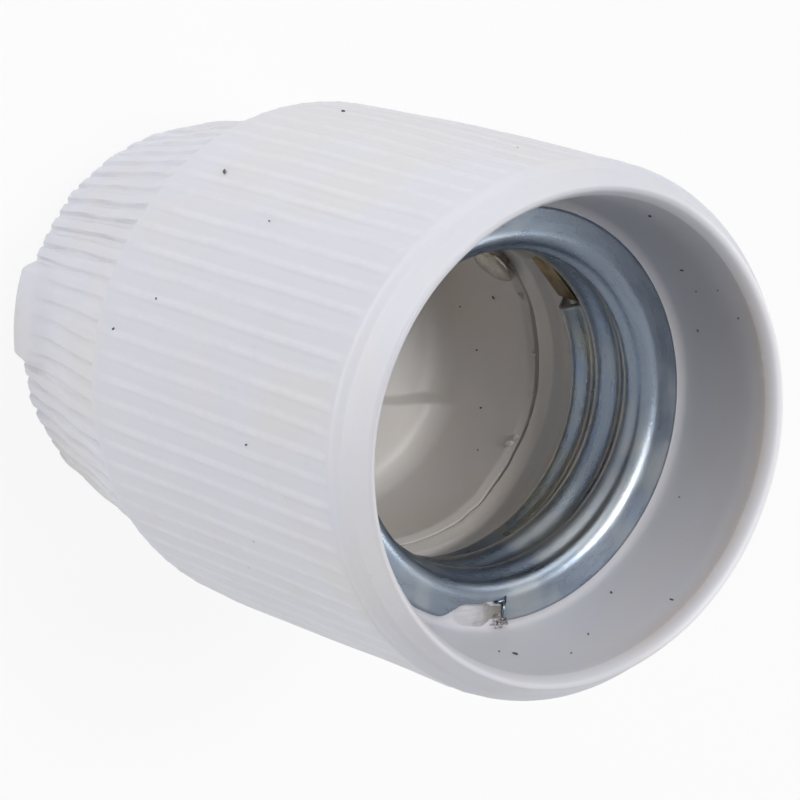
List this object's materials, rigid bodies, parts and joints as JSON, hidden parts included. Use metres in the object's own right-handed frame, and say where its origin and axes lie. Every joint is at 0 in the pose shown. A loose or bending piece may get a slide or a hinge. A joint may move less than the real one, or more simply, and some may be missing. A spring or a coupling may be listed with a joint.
{
  "type": "lamp holder",
  "caption": "Porcelain screw lamp holder with ribbed skirt, threaded steel shell, contact base and fluted rear cap.",
  "frame": {"origin": "middle of the flat foot at the rear end of the cap", "axes": "+Z runs from the rear end to the lamp's mouth; -Y is the side of the cap's smooth pad"},
  "size_m": [0.042, 0.042, 0.057],
  "materials": {
    "porcelain": "white, thin semi-matt glaze",
    "inner_porcelain": "white, unglazed and a little stained",
    "zinc_plate": "bright blue-white zinc plate",
    "bronze": "spring bronze, dull",
    "brass": "brass, dull",
    "nickel_plate": "nickel plate"
  },
  "bodies": {
    "cap": {"rear_cap": "porcelain", "entry_bush": "zinc_plate", "entry_nut": "zinc_plate"},
    "base": {"contact_base": "inner_porcelain", "side_contact": "brass", "side_rivet": "nickel_plate", "centre_rivet": "nickel_plate", "side_terminal_rivet": "nickel_plate", "centre_terminal": "brass", "side_terminal": "brass", "centre_washer": "zinc_plate", "side_washer": "zinc_plate"},
    "skirt": {"skirt": "porcelain", "screw_shell": "zinc_plate"},
    "leaf": {"centre_contact": "bronze"},
    "centre_screw": {"centre_terminal_screw": "zinc_plate"},
    "side_screw": {"side_terminal_screw": "zinc_plate"}
  },
  "joints": [
    {"name": "base_turn", "type": "hinge", "parent": "cap", "child": "base", "pos_m": [0, 0, 0.0153], "axis": [0, 0, 1], "range_deg": [0, 900]},
    {"name": "skirt_lift", "type": "slide", "parent": "base", "child": "skirt", "axis": [0, 0, 1], "range_m": [0, 0.01]},
    {"name": "contact_press", "type": "hinge", "parent": "base", "child": "leaf", "pos_m": [0, -0.0102, 0.0191], "axis": [1, 0, 0], "range_deg": [-6, 0], "stiffness_Nm_per_rad": 0.5},
    {"name": "centre_screw_turn", "type": "hinge", "parent": "base", "child": "centre_screw", "pos_m": [0, -0.0089, 0.011], "axis": [0, 0, -1], "range_deg": [0, 1080]},
    {"name": "side_screw_turn", "type": "hinge", "parent": "base", "child": "side_screw", "pos_m": [-0.00556, 0.00518, 0.011], "axis": [0, 0, -1], "range_deg": [0, 1080]}
  ],
  "couplings": [
    {"joint": "base_turn", "follows": "skirt_lift", "rad_per_m": 1570.8}
  ]
}
